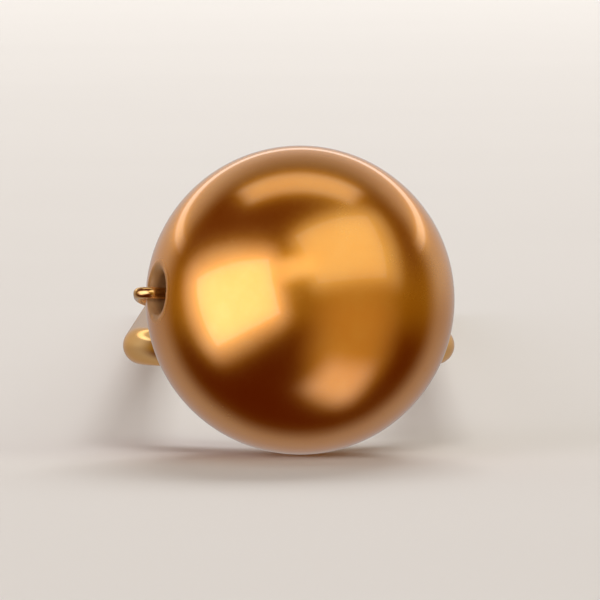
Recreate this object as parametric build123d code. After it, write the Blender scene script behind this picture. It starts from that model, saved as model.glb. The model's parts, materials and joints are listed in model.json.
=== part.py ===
"""Pearl hair pin: one round gold pearl bound with fine wire to the bend of a two-legged pin.

Millimetres, +Z up. The pin lies on a flat surface at Z = 0, as it rests by itself: on the pearl, at
the -Y end, and on its two tips, at the +Y end. Its bend and legs are first laid out in their own
plane, with +Y towards the tips and the centre of the bend at the origin. rest_place() then tips that
layout until the pearl and the tips touch the surface, and moves the middle of the length to Y = 0.
"""
import os
from math import acos, asin, atan2, cos, degrees, hypot, pi, radians, sin, tan

from build123d import *

# The pearl, a round bead drilled right through, about along X. It has turned a little on the binding
# wire, which brings its left mouth forwards and up
PEARL_DIAMETER = 8.0
DRILL_DIAMETER = 1.0
DRILL_CHAMFER = 0.25
PEARL_TURN = 20.0
PEARL_DIP = 3.5

# The pin, one round wire bent into two parallel legs
PIN_WIRE = 1.0
LEG_SPACING = 7.8
LEG_LENGTH = 58.0

# How the pearl sits on the bend: a hair clear of it, rolled up out of the plane of the legs
SEAT_GAP = 0.05
SEAT_ROLL = 17.5
PEARL_SIDE_SHIFT = 0.3

# The binding wire, through the pearl and wound on the bend at each side of it
BINDING_WIRE = 0.3
BINDING_TURNS = 5
WRAP_GAP = 0.03
TURN_GAP = 0.03
MOUTH_BEND = 0.3
LEAVING_ANGLE = 20.0
LEAST_TURN = 2.0
CORNERS_PER_TURN = 8
LEAD_RISE = 0.15
ARC_SHARE = 0.45

pearl_radius = PEARL_DIAMETER / 2
pin_radius = PIN_WIRE / 2
bend_radius = LEG_SPACING / 2
binding_radius = BINDING_WIRE / 2
seat_distance = pearl_radius + SEAT_GAP + pin_radius
roll = radians(SEAT_ROLL)
pearl_centre = Vector(
    PEARL_SIDE_SHIFT,
    -bend_radius - seat_distance * cos(roll),
    seat_distance * sin(roll),
)
pearl_place = Pos(*pearl_centre) * Rot(Z=PEARL_TURN) * Rot(Y=PEARL_DIP)
drill_way = Plane(pearl_place).x_dir

# The winding's corners stand far enough out for its straight runs to clear the pin's wire
winding_clear = pin_radius + WRAP_GAP + binding_radius
winding_corner = winding_clear / cos(pi / CORNERS_PER_TURN)
winding_outside = winding_corner + binding_radius
inside_of_bend = bend_radius - winding_corner
turn_angle = (BINDING_WIRE + TURN_GAP) / inside_of_bend


def rest_tilt():
    """The angle that brings the tips down to the surface that the pearl stands on."""
    rise = pearl_centre.Z
    run = LEG_LENGTH - pearl_centre.Y
    return asin((pearl_radius - pin_radius) / hypot(run, rise)) - atan2(rise, run)


def rest_place():
    """Carries the flat layout to the pose in which the pin lies."""
    tilt = rest_tilt()
    front = pearl_centre.Y * cos(tilt) + pearl_centre.Z * sin(tilt) - pearl_radius
    back = LEG_LENGTH * cos(tilt) + pin_radius
    up = pin_radius + LEG_LENGTH * sin(tilt)
    return Pos(0, -(front + back) / 2, up) * Rot(X=-degrees(tilt))


def on_bend(angle):
    """The point on the bend's centre line at an angle from its top, positive towards +X."""
    return Vector(bend_radius * sin(angle), -bend_radius * cos(angle), 0)


def winding_start(side):
    """The angle on the bend, from its top, where a winding first clears the pearl."""
    reach = pearl_radius + SEAT_GAP + winding_outside
    flat = hypot(pearl_centre.X, pearl_centre.Y)
    lean = atan2(side * pearl_centre.X, -pearl_centre.Y)
    squares = bend_radius**2 + pearl_centre.length**2 - reach**2
    return lean + acos(squares / (2 * bend_radius * flat))


def winding_points(side):
    """The winding's corners, from its outer end inwards.

    The lead from the pearl arrives at the first, which stands higher, clear of the turn beside it.
    """
    first = winding_start(side) + BINDING_TURNS * turn_angle
    corners = []
    for i in range(BINDING_TURNS * CORNERS_PER_TURN + 1):
        turns = i / CORNERS_PER_TURN
        angle = side * (first - turns * turn_angle)
        around = pi / 2 + 2 * pi * turns
        outward = Vector(sin(angle), -cos(angle), 0)
        across = outward * cos(around) + Vector(0, 0, 1) * sin(around)
        height = winding_corner if i else winding_corner + LEAD_RISE
        corners.append(on_bend(angle) + across * height)
    return corners


def lead_points(side, target):
    """The corners between the drilling and the winding, each with the radius of its arc.

    They lie in the plane that holds the drilling's axis and the target, the winding's outer end. The
    first is at the pearl's mouth. Where the lead goes round the pearl's side by LEAST_TURN or more, the
    second is where the tangents meet that leave that side towards the mouth and the target.
    """
    along = drill_way * side
    reach = target - pearl_centre
    sideways = reach - along * reach.dot(along)
    away = sideways.normalized()
    hug_radius = pearl_radius + WRAP_GAP + binding_radius
    in_drilling = DRILL_DIAMETER / 2 - WRAP_GAP - binding_radius

    arriving = atan2(sideways.length, reach.dot(along)) - acos(hug_radius / reach.length)
    goes_round = arriving > radians(LEAVING_ANGLE + LEAST_TURN)
    leaving = radians(LEAVING_ANGLE) if goes_round else arriving
    mouth = (hug_radius - in_drilling * sin(leaving)) / cos(leaving)
    corners = [(pearl_centre + along * mouth + away * in_drilling, MOUTH_BEND)]
    if goes_round:
        middle = (leaving + arriving) / 2
        corner_distance = hug_radius / cos((arriving - leaving) / 2)
        corner = pearl_centre + (along * cos(middle) + away * sin(middle)) * corner_distance
        corners.append((corner, hug_radius))
    return corners


def corner_radius(before, corner, after):
    """An arc that takes most of the shorter run beside a corner of the winding."""
    run = min((corner - before).length, (after - corner).length)
    turn = radians((corner - before).get_angle(after - corner))
    return ARC_SHARE * run / tan(turn / 2)


def make_pearl():
    """A sphere, with the drilling and its chamfered mouths left out of the section that is revolved."""
    drill = DRILL_DIAMETER / 2
    mouth = drill + DRILL_CHAMFER
    mouth_x = (pearl_radius**2 - mouth**2) ** 0.5
    drill_x = mouth_x - DRILL_CHAMFER
    section = make_face(
        [
            Line((-drill_x, drill), (drill_x, drill)),
            Line((drill_x, drill), (mouth_x, mouth)),
            ThreePointArc((mouth_x, mouth), (0, pearl_radius), (-mouth_x, mouth)),
            Line((-mouth_x, mouth), (-drill_x, drill)),
        ]
    )
    bead = revolve(section, axis=Axis.X, revolution_arc=360)
    return pearl_place * bead


def make_pin():
    """The bend and both legs, swept as one wire, with a round end on each leg."""
    tips = [(side * bend_radius, LEG_LENGTH) for side in (-1, 1)]
    shoulders = [(side * bend_radius, 0) for side in (-1, 1)]
    wire_line = Wire(
        [
            Line(tips[0], shoulders[0]),
            ThreePointArc(shoulders[0], (0, -bend_radius), shoulders[1]),
            Line(shoulders[1], tips[1]),
        ]
    )
    section = Plane(origin=(*tips[0], 0), z_dir=(0, -1, 0)) * Circle(pin_radius)
    wire = sweep(section, path=wire_line)
    for tip in tips:
        wire += Pos(*tip, 0) * Sphere(pin_radius)
    return wire


def make_binding_wire():
    """Fine wire wound on one side of the bend, led through the pearl and wound on the other."""
    points, radii = [], []
    for side in (-1, 1):
        winding = winding_points(side)
        lead = lead_points(side, winding[0])
        line = [point for point, _ in lead] + winding
        arcs = [radius for _, radius in lead]
        arcs += [corner_radius(*line[i - 1 : i + 2]) for i in range(len(lead), len(line) - 1)]
        if side < 0:
            line.reverse()
            arcs.reverse()
        points += line
        radii += arcs
    path = FilletPolyline(*points, radius=radii)
    section = Plane(origin=path @ 0, z_dir=path % 0) * Circle(binding_radius)
    return sweep(section, path=path)


def main():
    os.makedirs("parts", exist_ok=True)
    place = rest_place()
    pieces = {
        "pearl": make_pearl(),
        "pin": make_pin(),
        "binding_wire": make_binding_wire(),
    }
    for name, piece in pieces.items():
        export_step(place * piece, f"parts/{name}.step")


main()
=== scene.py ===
"""The finish of a pearl hair pin: a gold pearl, its plated wire pin and the fine wire that binds them.

Metres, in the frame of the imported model: +Z up, the pearl at -Y, the tips at +Y. The bend and the
binding wire are worked out in the plane of the pin, from its two leg mounts and the pearl's box.
"""
import json
from math import acos, atan, atan2, cos, hypot, pi, radians, sin, sqrt, tan

import bpy
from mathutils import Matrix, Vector, noise


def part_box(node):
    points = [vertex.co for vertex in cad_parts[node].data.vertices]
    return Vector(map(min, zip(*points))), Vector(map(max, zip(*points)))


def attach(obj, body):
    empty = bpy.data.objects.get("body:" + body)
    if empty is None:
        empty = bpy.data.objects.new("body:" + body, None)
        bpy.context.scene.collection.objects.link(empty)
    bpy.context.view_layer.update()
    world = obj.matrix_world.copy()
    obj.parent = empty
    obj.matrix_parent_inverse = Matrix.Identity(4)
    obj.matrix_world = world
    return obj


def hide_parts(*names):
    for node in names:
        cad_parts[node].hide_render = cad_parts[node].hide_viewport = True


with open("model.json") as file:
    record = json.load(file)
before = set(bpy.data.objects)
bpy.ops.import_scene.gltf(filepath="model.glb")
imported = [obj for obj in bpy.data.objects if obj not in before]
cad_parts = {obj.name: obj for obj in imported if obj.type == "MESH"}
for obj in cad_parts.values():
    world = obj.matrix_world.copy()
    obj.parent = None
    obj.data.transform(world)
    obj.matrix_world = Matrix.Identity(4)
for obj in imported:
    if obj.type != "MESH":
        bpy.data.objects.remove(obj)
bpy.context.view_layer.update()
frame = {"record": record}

MM = 0.001

# The pin, from the mounts on its legs
mounts = {mount["name"]: mount for mount in frame["record"]["mounts"]}
left_leg, right_leg = (Vector(mounts[name]["pos_m"]) for name in ("leg_left", "leg_right"))
pin_radius = mounts["leg_left"]["dims"]["r_mm"] * MM
leg_length = mounts["leg_left"]["dims"]["length_mm"] * MM
to_tips = Vector(mounts["leg_left"]["axis"]).normalized()
to_right = (right_leg - left_leg).normalized()
to_top = to_right.cross(to_tips)
bend_radius = (right_leg - left_leg).length / 2
bend_centre = (left_leg + right_leg) / 2 - to_tips * leg_length / 2

# The pearl, from its box. It has turned on the wire, which brings its left mouth forwards and up
pearl_low, pearl_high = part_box("pearl")
pearl_centre = (pearl_low + pearl_high) / 2
pearl_radius = (pearl_high.z - pearl_low.z) / 2
DRILL_RADIUS = 0.5 * MM
MOUTH_RADIUS = 0.75 * MM
PEARL_TURN = radians(20)
PEARL_DIP = radians(3.5)
level_way = to_right * cos(PEARL_TURN) + to_tips * sin(PEARL_TURN)
drill_way = level_way * cos(PEARL_DIP) - to_top * sin(PEARL_DIP)
drill_back = to_top.cross(level_way)
drill_up = drill_way.cross(drill_back)

# The binding wire, drawn tight on the bend
BINDING_RADIUS = 0.15 * MM
BINDING_TURNS = 5
TURN_PITCH = 0.34 * MM
WINDING_GAP = 0.004 * MM
MOUTH_BEND = 0.3 * MM
LEAVING_ANGLE = radians(20)
LEAD_RISE = 0.20 * MM
PEARL_ROOM = 0.08 * MM
FREE_SHARE = 0.8         # of the lead's last stretch, before it curves into the winding
SETTLED_AFTER = 0.13     # turns
JOINING_PULL = 0.4


def in_row(right, tips, top):
    """A point given in the plane of the pin, from the centre of its bend."""
    return bend_centre + to_right * right + to_tips * tips + to_top * top


def tangents(line):
    """The direction of travel at each point of a line."""
    last = len(line) - 1
    return [(line[min(i + 1, last)] - line[max(i - 1, 0)]).normalized() for i in range(last + 1)]


def distances(line):
    """How far along the line each point lies."""
    far = [0.0]
    for before, after in zip(line, line[1:]):
        far.append(far[-1] + (after - before).length)
    return far


def mesh_object(name, points, faces):
    mesh = bpy.data.meshes.new(name)
    mesh.from_pydata([tuple(point) for point in points], [], faces)
    mesh.validate()
    mesh.shade_smooth()
    piece = bpy.data.objects.new(name, mesh)
    bpy.context.scene.collection.objects.link(piece)
    return piece


def tube(name, line, radii, sides):
    """A closed wire round a line, each point with its own radius.

    Its grain, kept on the vertices for the finish, is the place round the wire as a cosine and a
    sine, and the place along it in millimetres.
    """
    ways = tangents(line)
    across = ways[0].orthogonal().normalized()
    points, grain = [line[0]], [(0.0, 0.0, 0.0)]
    far = distances(line)
    for centre, way, radius, reach in list(zip(line, ways, radii, far))[1:-1]:
        across = (across - way * across.dot(way)).normalized()
        beside = way.cross(across)
        for i in range(sides):
            turn = 2 * pi * i / sides
            points.append(centre + (across * cos(turn) + beside * sin(turn)) * radius)
            grain.append((cos(turn), sin(turn), reach / MM))
    points.append(line[-1])
    grain.append((0.0, 0.0, far[-1] / MM))

    rings = len(line) - 2
    faces = []
    for i in range(sides):
        j = (i + 1) % sides
        faces.append((0, 1 + j, 1 + i))
        for ring in range(rings - 1):
            here = 1 + ring * sides
            ahead = here + sides
            faces.append((here + i, here + j, ahead + j, ahead + i))
        last_ring = 1 + (rings - 1) * sides
        faces.append((last_ring + i, last_ring + j, len(points) - 1))
    piece = mesh_object(name, points, faces)
    kept = piece.data.attributes.new("grain", "FLOAT_VECTOR", "POINT")
    kept.data.foreach_set("vector", [number for place in grain for number in place])
    return piece


def rounded_ends(line, radius, steps=8):
    """Adds a round end past each end of a line, and gives every point its radius."""
    ways = tangents(line)
    angles = [pi / 2 * (steps - i) / steps for i in range(steps)]
    start = [line[0] - ways[0] * radius * sin(angle) for angle in angles]
    end = [line[-1] + ways[-1] * radius * sin(angle) for angle in reversed(angles)]
    caps = [radius * cos(angle) for angle in angles]
    return start + line + end, caps + [radius] * len(line) + caps[::-1]


def pin_line():
    """The pin's centre line: up the left leg, round the bend and down the right leg."""
    leg_steps, bend_steps = 90, 72
    left = [in_row(-bend_radius, leg_length * (1 - i / leg_steps), 0) for i in range(leg_steps)]
    bend = []
    for i in range(bend_steps + 1):
        angle = pi * i / bend_steps
        bend.append(in_row(-bend_radius * cos(angle), -bend_radius * sin(angle), 0))
    right = [in_row(bend_radius, leg_length * (i + 1) / leg_steps, 0) for i in range(leg_steps)]
    return left + bend + right


def make_pin_wire():
    line, radii = rounded_ends(pin_line(), pin_radius)
    return tube("pin_wire", line, radii, sides=40)


def pearl_profile():
    """The pearl's section, as places along its drilling and distances from it, from the middle of
    the drilling out through the right mouth, over the pearl and in through the left mouth."""
    wall_steps, lip_steps, half_steps = 8, 10, 64
    mouth_along = sqrt(pearl_radius**2 - MOUTH_RADIUS**2)
    lip = MOUTH_RADIUS - DRILL_RADIUS
    lip_along = mouth_along - lip
    wall = [(lip_along * i / wall_steps, DRILL_RADIUS) for i in range(wall_steps)]
    rounding = []
    for i in range(lip_steps):
        turn = pi / 2 * i / lip_steps
        rounding.append((lip_along + lip * sin(turn), MOUTH_RADIUS - lip * cos(turn)))
    first = atan2(MOUTH_RADIUS, mouth_along)
    outside = []
    for i in range(half_steps):
        angle = first + (pi / 2 - first) * i / half_steps
        outside.append((pearl_radius * cos(angle), pearl_radius * sin(angle)))
    right_half = wall + rounding + outside
    left_half = [(-along, out) for along, out in reversed(right_half[1:])]
    return right_half + [(0.0, pearl_radius)] + left_half


# The lacquer's waves and their depths, in millimetres
BROAD_WAVE, BROAD_DEPTH = 3.1, 0.010
SMALL_WAVE, SMALL_DEPTH = 1.2, 0.0022
SMALL_SHIFT = Vector((7.0, 3.0, 5.0))


def pearl_dip(point):
    """How far the lacquer lies inside the true sphere there: it is slightly uneven."""
    broad = noise.noise(point / (BROAD_WAVE * MM))
    small = noise.noise(point / (SMALL_WAVE * MM) + SMALL_SHIFT)
    return (BROAD_DEPTH * (0.5 + 0.5 * broad) + SMALL_DEPTH * (0.5 + 0.5 * small)) * MM


def make_pearl_bead():
    around_steps = 180
    profile = pearl_profile()
    points = []
    for along, out in profile:
        for i in range(around_steps):
            turn = 2 * pi * i / around_steps
            point = drill_way * along + (drill_back * cos(turn) + drill_up * sin(turn)) * out
            if out > MOUTH_RADIUS:
                point -= point.normalized() * pearl_dip(point)
            points.append(pearl_centre + point)
    faces = []
    for ring in range(len(profile)):
        here = ring * around_steps
        ahead = (ring + 1) % len(profile) * around_steps
        for i in range(around_steps):
            j = (i + 1) % around_steps
            faces.append((here + i, ahead + i, ahead + j, here + j))
    return mesh_object("pearl_bead", points, faces)


winding_radius = pin_radius + BINDING_RADIUS + WINDING_GAP
turn_angle = TURN_PITCH / (bend_radius - winding_radius)


def winding_first(side):
    """The angle on the bend, from its top, of a winding's outer end."""
    away = pearl_centre - bend_centre
    right, tips = away.dot(to_right), away.dot(to_tips)
    reach = pearl_radius + PEARL_ROOM + winding_radius + BINDING_RADIUS
    squares = bend_radius**2 + away.length**2 - reach**2
    start = atan2(side * right, -tips) + acos(squares / (2 * bend_radius * hypot(right, tips)))
    return start + BINDING_TURNS * turn_angle


def winding_point(side, turns):
    """A point on a winding, counted in turns from its outer end, which lies on top of the bend."""
    angle = side * (winding_first(side) - turns * turn_angle)
    around = pi / 2 + 2 * pi * turns
    outward = to_right * sin(angle) - to_tips * cos(angle)
    on_bend = bend_centre + outward * bend_radius
    return on_bend + (outward * cos(around) + to_top * sin(around)) * winding_radius


def joined(before, before_way, after, after_way, steps):
    """A smooth run from one point to another, leaving and arriving in the given directions."""
    pull = (after - before).length * JOINING_PULL
    handles = (before, before + before_way * pull, after - after_way * pull, after)
    run = []
    for i in range(1, steps):
        t = i / steps
        weights = ((1 - t) ** 3, 3 * (1 - t) ** 2 * t, 3 * (1 - t) * t**2, t**3)
        run.append(sum((handle * weight for handle, weight in zip(handles, weights)), Vector()))
    return run


def lead_line(side):
    """From the middle of the drilling out of its mouth, round the pearl and on towards a winding.

    It lies in the plane of the drilling and the point that it heads for, over the winding's outer
    end and high enough to clear the turn beside it.
    """
    along = drill_way * side
    target = winding_point(side, 0) + to_top * LEAD_RISE
    reach = target - pearl_centre
    sideways = reach - along * reach.dot(along)
    away = sideways.normalized()
    hug = pearl_radius + BINDING_RADIUS + WINDING_GAP
    offset = DRILL_RADIUS - BINDING_RADIUS - WINDING_GAP
    arriving = atan2(sideways.length, reach.dot(along)) - acos(hug / reach.length)
    leaving = min(LEAVING_ANGLE, arriving)

    def place(along_part, away_part):
        return pearl_centre + along * along_part + away * away_part

    mouth = (hug - offset * sin(leaving)) / cos(leaving)
    turn = pi / 2 + leaving
    trim = MOUTH_BEND * tan(turn / 2)
    inside_steps, mouth_steps, hug_steps, free_steps = 12, 16, 40, 14
    line = [place((mouth - trim) * i / inside_steps, offset) for i in range(inside_steps)]
    for i in range(mouth_steps + 1):
        angle = turn * i / mouth_steps
        line.append(place(mouth - trim + MOUTH_BEND * sin(angle), offset + MOUTH_BEND * (1 - cos(angle))))
    for i in range(1, hug_steps + 1):
        angle = leaving + (arriving - leaving) * i / hug_steps
        if hug * sin(angle) > offset + MOUTH_BEND * (1 - cos(turn)):
            line.append(place(hug * cos(angle), hug * sin(angle)))
    free_end = line[-1].lerp(target, FREE_SHARE)
    return line + [line[-1].lerp(free_end, i / free_steps) for i in range(1, free_steps + 1)]


def half_binding(side):
    """One half of the binding wire, from the middle of the drilling to its end on the bend."""
    turn_steps, joining_steps = 56, 14
    lead = lead_line(side)
    left_over = BINDING_TURNS - SETTLED_AFTER
    count = int(left_over * turn_steps)
    turns = [SETTLED_AFTER + left_over * i / count for i in range(count + 1)]
    winding = [winding_point(side, turn) for turn in turns]
    arriving = (winding[1] - winding[0]).normalized()
    leaving = (lead[-1] - lead[-2]).normalized()
    return lead + joined(lead[-1], leaving, winding[0], arriving, joining_steps) + winding


def make_binding_winding():
    left, right = half_binding(-1), half_binding(1)
    line = left[::-1] + right[1:]
    line, radii = rounded_ends(line, BINDING_RADIUS, steps=4)
    return tube("binding_winding", line, radii, sides=22)


class Signal:
    """What a socket gives over a surface. Sums and products of signals that are numbers add Math nodes."""

    def __init__(self, nodes, socket):
        self.nodes, self.socket = nodes, socket

    def sum_up(self, operation, first, second):
        return self.nodes.node("ShaderNodeMath", {"operation": operation}, {0: first, 1: second})

    def __add__(self, other):
        return self.sum_up("ADD", self, other)

    def __radd__(self, other):
        return self.sum_up("ADD", other, self)

    def __sub__(self, other):
        return self.sum_up("SUBTRACT", self, other)

    def __rsub__(self, other):
        return self.sum_up("SUBTRACT", other, self)

    def __mul__(self, other):
        return self.sum_up("MULTIPLY", self, other)

    def __rmul__(self, other):
        return self.sum_up("MULTIPLY", other, self)

    def __truediv__(self, other):
        return self.sum_up("DIVIDE", self, other)

    def __rtruediv__(self, other):
        return self.sum_up("DIVIDE", other, self)


class Nodes:
    """A node tree under construction."""

    def __init__(self, tree):
        self.tree = tree
        tree.nodes.clear()

    def node(self, kind, settings=None, sockets=None, out=0):
        """Adds a node: its settings first, then its sockets, each a value or a signal."""
        node = self.tree.nodes.new(kind)
        for name, value in (settings or {}).items():
            setattr(node, name, value)
        for key, value in (sockets or {}).items():
            if isinstance(value, Signal):
                self.tree.links.new(value.socket, node.inputs[key])
            else:
                node.inputs[key].default_value = value
        return Signal(self, node.outputs[out]) if len(node.outputs) else None

    def vector(self, operation, first, second):
        return self.node("ShaderNodeVectorMath", {"operation": operation}, {0: first, 1: second})

    def noise(self, where, scale, detail=2.0, roughness=0.5):
        sockets = {"Vector": where, "Scale": scale, "Detail": detail, "Roughness": roughness}
        return self.node("ShaderNodeTexNoise", None, sockets)

    def drawn(self, grain, across, along, detail, roughness=0.5):
        """Noise that follows a wire's grain, with a scale across the wire and another along it."""
        where = self.vector("MULTIPLY", grain, (across, across, along))
        return self.noise(where, 1.0, detail, roughness)

    def step(self, value, low, high):
        """0 below low, 1 above high, and smooth between."""
        sockets = {"Value": value, "From Min": low, "From Max": high}
        return self.node("ShaderNodeMapRange", {"interpolation_type": "SMOOTHSTEP"}, sockets)

    def blend(self, share, first, second):
        """A colour that goes from the first to the second."""
        settings = {"data_type": "RGBA", "clamp_factor": True}
        return self.node("ShaderNodeMix", settings, {0: share, 6: first, 7: second}, out=2)

    def bump(self, height, strength, depth):
        """A surface that rises with a height of 0 to 1, up to a depth in millimetres."""
        sockets = {"Strength": strength, "Distance": depth * MM, "Height": height}
        return self.node("ShaderNodeBump", None, sockets)

    def millimetres_from(self, centre):
        """The place on the piece in millimetres, counted from a point."""
        place = self.node("ShaderNodeTexCoord", out=3)
        away = self.vector("SUBTRACT", place, tuple(centre))
        return self.vector("MULTIPLY", away, (1 / MM,) * 3)


def finish_material(name, make):
    """A material whose shader is made by a function of its nodes."""
    material = bpy.data.materials.new(name)
    material.use_nodes = True
    nodes = Nodes(material.node_tree)
    nodes.node("ShaderNodeOutputMaterial", None, {"Surface": make(nodes)})
    return material


LACQUER_GOLD = (0.91, 0.42, 0.06, 1)
LACQUER_DEEP = (0.85, 0.35, 0.03, 1)
LACQUER_PALE = (0.93, 0.52, 0.15, 1)
# The core seen through the thin lacquer at the drilling, darkened with painted shade for the inside of the
# hole
DRILLING_CORE_AND_SHADE = (0.44, 0.25, 0.10, 1)
PEARL_EDGE = (1.0, 0.80, 0.62, 1)


def gold_lacquer(nodes):
    """Metallic pearl lacquer, cloudy and finely flaked, thin at the drilling, under a clear gloss coat.
    Where thin, the core shows through in a colour darkened with painted shade for the inside of the hole.
    """
    place = nodes.millimetres_from(pearl_centre)
    clouds = nodes.noise(place, scale=0.42, detail=3.0)
    wisps = nodes.noise(place, scale=1.6, detail=3.0, roughness=0.6)
    flakes = nodes.noise(place, scale=9.0, detail=1.0)
    pits = nodes.node("ShaderNodeTexVoronoi", None, {"Vector": place, "Scale": 1.1})
    pit = 1 - nodes.step(pits, 0.02, 0.06)

    off_axis = nodes.vector("SUBTRACT", place, nodes.vector("PROJECT", place, tuple(drill_way)))
    from_axis = nodes.node("ShaderNodeVectorMath", {"operation": "LENGTH"}, {0: off_axis}, out=1)
    ragged = from_axis + (wisps - 0.5) * 0.35
    thin = 1 - nodes.step(ragged, 0.62, 0.86)
    pooled = nodes.step(ragged, 0.76, 0.92) * (1 - nodes.step(ragged, 1.0, 1.6))

    colour = nodes.blend(nodes.step(clouds, 0.25, 0.75), LACQUER_DEEP, LACQUER_GOLD)
    colour = nodes.blend(nodes.step(wisps, 0.4, 0.8) * 0.12, colour, LACQUER_PALE)
    colour = nodes.blend(nodes.step(flakes, 0.5, 0.8) * 0.08, colour, LACQUER_PALE)
    colour = nodes.blend(pooled * 0.6, colour, LACQUER_DEEP)
    # Thin lacquer at the drilling shows the core, in a colour darkened with painted shade for the hole's
    # inside
    colour = nodes.blend(thin, colour, DRILLING_CORE_AND_SHADE)
    bump = nodes.bump(flakes * 0.1 + wisps * 0.4 - pit * 0.8, strength=0.05, depth=0.02)
    return nodes.node(
        "ShaderNodeBsdfPrincipled",
        None,
        {
            "Base Color": colour,
            "Metallic": 1 - thin * 0.5,
            "Roughness": 0.22 + clouds * 0.05 + flakes * 0.03 + thin * 0.3,
            "Normal": bump,
            "Specular Tint": PEARL_EDGE,
            "Coat Weight": 1 - thin * 0.8 - pit * 0.4,
            "Coat Roughness": 0.035,
            "Coat IOR": 1.62,
        },
    )


PLATING_GOLD = (0.95, 0.64, 0.30, 1)
PLATING_DEEP = (0.80, 0.48, 0.19, 1)
PLATING_EDGE = (1.0, 0.78, 0.52, 1)
BARE_STEEL = (0.56, 0.54, 0.51, 1)


def grain_of(nodes):
    return nodes.node("ShaderNodeAttribute", {"attribute_name": "grain"}, out=1)


def gold_plating(nodes):
    """Gold-coloured plating on drawn wire: fine lines along it, darker in places, worn at the tips."""
    grain = grain_of(nodes)
    lines = nodes.drawn(grain, across=9, along=0.22, detail=4.0, roughness=0.6)
    hairlines = nodes.drawn(grain, across=34, along=0.5, detail=2.0)
    patches = nodes.drawn(grain, across=0.8, along=0.5, detail=3.0)
    along = nodes.node("ShaderNodeSeparateXYZ", None, {0: grain}, out=2)
    wire_length = (2 * leg_length + pi * bend_radius + 2 * pin_radius) / MM
    from_tip = nodes.node("ShaderNodeMath", {"operation": "MINIMUM"}, {0: along, 1: wire_length - along})
    worn = (1 - nodes.step(from_tip + (patches - 0.5) * 3, 0.3, 2.6)) * nodes.step(lines, 0.3, 0.6)

    colour = nodes.blend(nodes.step(patches, 0.35, 0.75) * 0.35, PLATING_GOLD, PLATING_DEEP)
    colour = nodes.blend(nodes.step(lines, 0.55, 0.8) * 0.16, colour, PLATING_DEEP)
    colour = nodes.blend(worn * 0.8, colour, BARE_STEEL)
    bump = nodes.bump(lines * 0.7 + hairlines * 0.3, strength=0.04, depth=0.012)
    return nodes.node(
        "ShaderNodeBsdfPrincipled",
        None,
        {
            "Base Color": colour,
            "Metallic": 1.0,
            "Roughness": 0.07 + lines * 0.07 + patches * 0.04 + worn * 0.14,
            "Normal": bump,
            "Specular Tint": PLATING_EDGE,
        },
    )


WIRE_BRASS = (0.86, 0.54, 0.21, 1)
WIRE_TARNISH = (0.60, 0.32, 0.10, 1)


def bright_brass(nodes):
    """Soft drawn brass, scuffed by the pliers that pulled it tight."""
    grain = grain_of(nodes)
    lines = nodes.drawn(grain, across=5, along=0.6, detail=3.0)
    scuffs = nodes.drawn(grain, across=1.4, along=2.2, detail=3.0, roughness=0.65)
    colour = nodes.blend(nodes.step(scuffs, 0.4, 0.75) * 0.55, WIRE_BRASS, WIRE_TARNISH)
    height = lines * 0.6 + nodes.step(scuffs, 0.55, 0.7) * 0.4
    bump = nodes.bump(height, strength=0.12, depth=0.008)
    return nodes.node(
        "ShaderNodeBsdfPrincipled",
        None,
        {
            "Base Color": colour,
            "Metallic": 1.0,
            "Roughness": 0.11 + lines * 0.07 + scuffs * 0.10,
            "Normal": bump,
        },
    )


FLOOR_PALE = (0.745, 0.745, 0.735, 1)
FLOOR_SHADE = (0.738, 0.738, 0.728, 1)


def matte_board(nodes):
    """Pale matte board with a fine tooth."""
    place = nodes.millimetres_from(Vector())
    tooth = nodes.noise(place, scale=2.2, detail=4.0, roughness=0.6)
    broad = nodes.noise(place, scale=0.03)
    colour = nodes.blend(nodes.step(broad, 0.3, 0.7), FLOOR_PALE, FLOOR_SHADE)
    bump = nodes.bump(tooth, strength=0.03, depth=0.01)
    return nodes.node(
        "ShaderNodeBsdfPrincipled",
        None,
        {
            "Base Color": colour,
            "Roughness": 0.7 + tooth * 0.1,
            "Normal": bump,
            "Specular IOR Level": 0.15,
        },
    )


FLOOR_HALF = 6.0


def make_floor():
    """The board takes shadows, and the tent, not the board, shows in what shines."""
    near, far = -FLOOR_HALF, FLOOR_HALF
    corners = [(near, near, 0), (far, near, 0), (far, far, 0), (near, far, 0)]
    floor = mesh_object("floor", corners, [(0, 1, 2, 3)])
    floor.data.materials.append(finish_material("matte_board", matte_board))
    floor.visible_glossy = False


def direction(azimuth, elevation):
    """From the pearl: azimuth 0 is towards the viewer of the photograph, and positive to the right."""
    flat = cos(radians(elevation))
    side, front = sin(radians(azimuth)), -cos(radians(azimuth))
    return Vector((side * flat, front * flat, sin(radians(elevation))))


def facing_the_pearl(name, data, way, distance):
    """An object at a distance from the pearl, in the given direction, that looks back at it."""
    holder = bpy.data.objects.new(name, data)
    holder.location = pearl_centre + way * distance
    holder.rotation_mode = "QUATERNION"
    holder.rotation_quaternion = way.to_track_quat("Z", "Y")
    bpy.context.scene.collection.objects.link(holder)
    return holder


LAMP_AZIMUTH, LAMP_ELEVATION = 172, 36
LAMP_DISTANCE = 1.60
LAMP_WIDTH, LAMP_HEIGHT = 0.80, 0.50
LAMP_WATTS = 17.0
LAMP_COLOUR = (1.0, 0.99, 0.975)


def studio_light():
    """A plain rectangular lamp behind the pearl, which isn't seen itself, nor in what shines."""
    lamp = bpy.data.lights.new("lamp_behind", "AREA")
    lamp.shape = "RECTANGLE"
    lamp.size, lamp.size_y = LAMP_WIDTH, LAMP_HEIGHT
    lamp.energy = LAMP_WATTS
    lamp.color = LAMP_COLOUR
    way = direction(LAMP_AZIMUTH, LAMP_ELEVATION)
    holder = facing_the_pearl("lamp_behind", lamp, way, LAMP_DISTANCE)
    holder.visible_camera = False
    holder.visible_glossy = False


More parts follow.
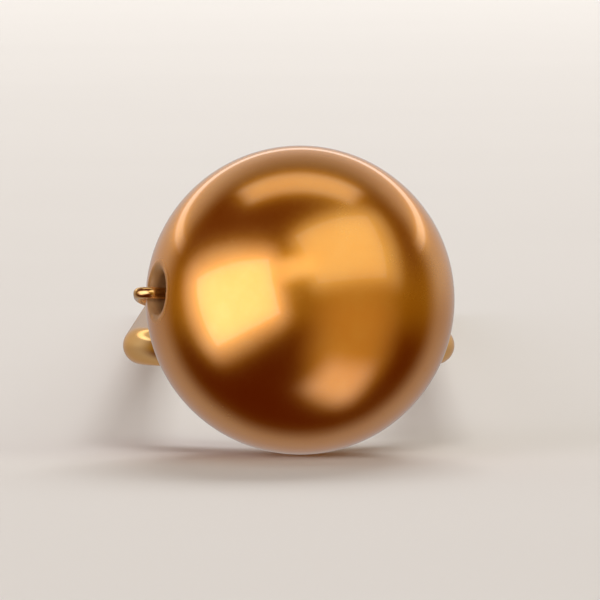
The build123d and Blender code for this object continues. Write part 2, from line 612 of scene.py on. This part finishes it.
def window_share(nodes, way, azimuth, elevation, lean, half_width, half_height, edge):
    """1 where a direction passes through a soft-edged window, whose half sizes are at unit distance.

    The lean turns the window anticlockwise, as it shows in the pearl.
    """
    facing = direction(azimuth, elevation)
    level = Vector((0, 0, 1)).cross(facing).normalized()
    upright = facing.cross(level)
    turn = radians(lean)
    side = level * cos(turn) + upright * sin(turn)
    upward = upright * cos(turn) - level * sin(turn)

    def along(axis):
        sockets = {0: way, 1: tuple(axis)}
        return nodes.node("ShaderNodeVectorMath", {"operation": "DOT_PRODUCT"}, sockets, out=1)

    depth = along(facing)
    share = nodes.step(depth, 0.0, 0.15)
    for axis, half in ((side, half_width), (upward, half_height)):
        off = nodes.node("ShaderNodeMath", {"operation": "ABSOLUTE"}, {0: along(axis) / depth})
        share = share * (1 - nodes.step(off, half - edge, half + edge))
    return share


# The windows of the light tent, later ones over earlier, in degrees and at unit distance
WINDOWS = (
    # azimuth, elevation, lean, half width, half height, edge, colour
    (46, 38, 0, 0.80, 0.54, 0.20, (0.75, 0.66, 0.46, 1)),
    (42, 39, 0, 0.56, 0.42, 0.03, (1.12, 1.08, 0.95, 1)),
    (44, -22, 0, 0.56, 0.60, 0.40, (0.56, 0.41, 0.16, 1)),
    (-8, 26, 16, 0.36, 0.15, 0.09, (1.45, 1.35, 1.05, 1)),
    (-53, 3, 20, 0.84, 0.66, 0.26, (1.10, 1.02, 1.10, 1)),
    (-50, 3, 20, 0.60, 0.44, 0.03, (2.10, 2.00, 2.30, 1)),
    (50, -58, 0, 0.32, 0.28, 0.18, (1.02, 0.92, 1.05, 1)),
    (180, 78, 0, 0.55, 0.20, 0.08, (1.00, 0.93, 0.85, 1)),
)
TENT_GLOW = (0.26, 0.15, 0.01, 1)
TENT_HIGH = (0.12, 0.03, 0.0, 1)
TENT_LOW = (0.09, 0.018, 0.0, 1)
SWEEP_TOP = (0.27, 0.24, 0.22, 1)
SWEEP_HIGH = (0.56, 0.515, 0.485, 1)
SWEEP_LOW = (0.41, 0.365, 0.345, 1)
STRIP_LIGHT = (1.60, 1.50, 1.40, 1)

# Where one part of the tent passes into the next, as the rising part of a direction, or for the
# sweep's edge its backward part
HORIZON = (-0.16, 0.12)
GLOW_EDGE = (0.05, 0.45)
TOP_EDGE = (0.50, 0.85)
STRIP_BOTTOM_EDGE, STRIP_TOP_EDGE = (0.30, 0.33), (0.39, 0.42)
SWEEP_EDGE = (0.30, 0.66)


def studio_world():
    """A light tent: dim warm cloth with windows in front, a pale sweep and a strip light behind."""
    world = bpy.data.worlds.new("studio")
    world.use_nodes = True
    bpy.context.scene.world = world
    nodes = Nodes(world.node_tree)
    way = nodes.node("ShaderNodeTexCoord")
    backward = nodes.node("ShaderNodeSeparateXYZ", None, {"Vector": way}, out=1)
    height = nodes.node("ShaderNodeSeparateXYZ", None, {"Vector": way}, out=2)
    off_horizon = nodes.node("ShaderNodeMath", {"operation": "ABSOLUTE"}, {0: height})
    above = nodes.step(height, *HORIZON)
    colour = nodes.blend(above, TENT_LOW, TENT_HIGH)
    colour = nodes.blend(nodes.step(off_horizon, *GLOW_EDGE), TENT_GLOW, colour)
    for azimuth, elevation, lean, half_width, half_height, edge, glow in WINDOWS:
        share = window_share(nodes, way, azimuth, elevation, lean, half_width, half_height, edge)
        colour = nodes.blend(share, colour, glow)
    sweep = nodes.blend(above, SWEEP_LOW, SWEEP_HIGH)
    sweep = nodes.blend(nodes.step(height, *TOP_EDGE), sweep, SWEEP_TOP)
    strip = nodes.step(height, *STRIP_BOTTOM_EDGE) * (1 - nodes.step(height, *STRIP_TOP_EDGE))
    sweep = nodes.blend(strip, sweep, STRIP_LIGHT)
    colour = nodes.blend(nodes.step(backward, *SWEEP_EDGE), colour, sweep)
    sky = nodes.node("ShaderNodeBackground", None, {"Color": colour, "Strength": 1.0})
    nodes.node("ShaderNodeOutputWorld", None, {"Surface": sky})


def develop():
    """Plain tone mapping, which keeps the gold deep."""
    view = bpy.context.scene.view_settings
    view.view_transform = "Standard"
    view.look = "None"


VIEW_ELEVATION = 3.0
VIEW_DISTANCE = 0.300
VIEW_WIDTH = 15.5 * MM
NEAREST, FARTHEST = 0.01, 100


def make_camera():
    """The photograph looks along the pin, with the pearl in front of its legs."""
    camera = bpy.data.cameras.new("camera")
    camera.angle = 2 * atan(VIEW_WIDTH / 2 / VIEW_DISTANCE)
    camera.clip_start, camera.clip_end = NEAREST, FARTHEST
    way = direction(0, VIEW_ELEVATION)
    bpy.context.scene.camera = facing_the_pearl("camera", camera, way, VIEW_DISTANCE)


def dress(piece, node, slot, make):
    """Gives a piece its finish, and puts it in place of the plain solid."""
    piece.data.materials.append(finish_material(slot, make))
    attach(piece, "root")
    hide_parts(node)


dress(make_pearl_bead(), "pearl", "gold_pearl", gold_lacquer)
dress(make_pin_wire(), "pin", "gold_plated_steel", gold_plating)
dress(make_binding_winding(), "binding_wire", "gold_binding_wire", bright_brass)
make_floor()
studio_world()
studio_light()
develop()
make_camera()
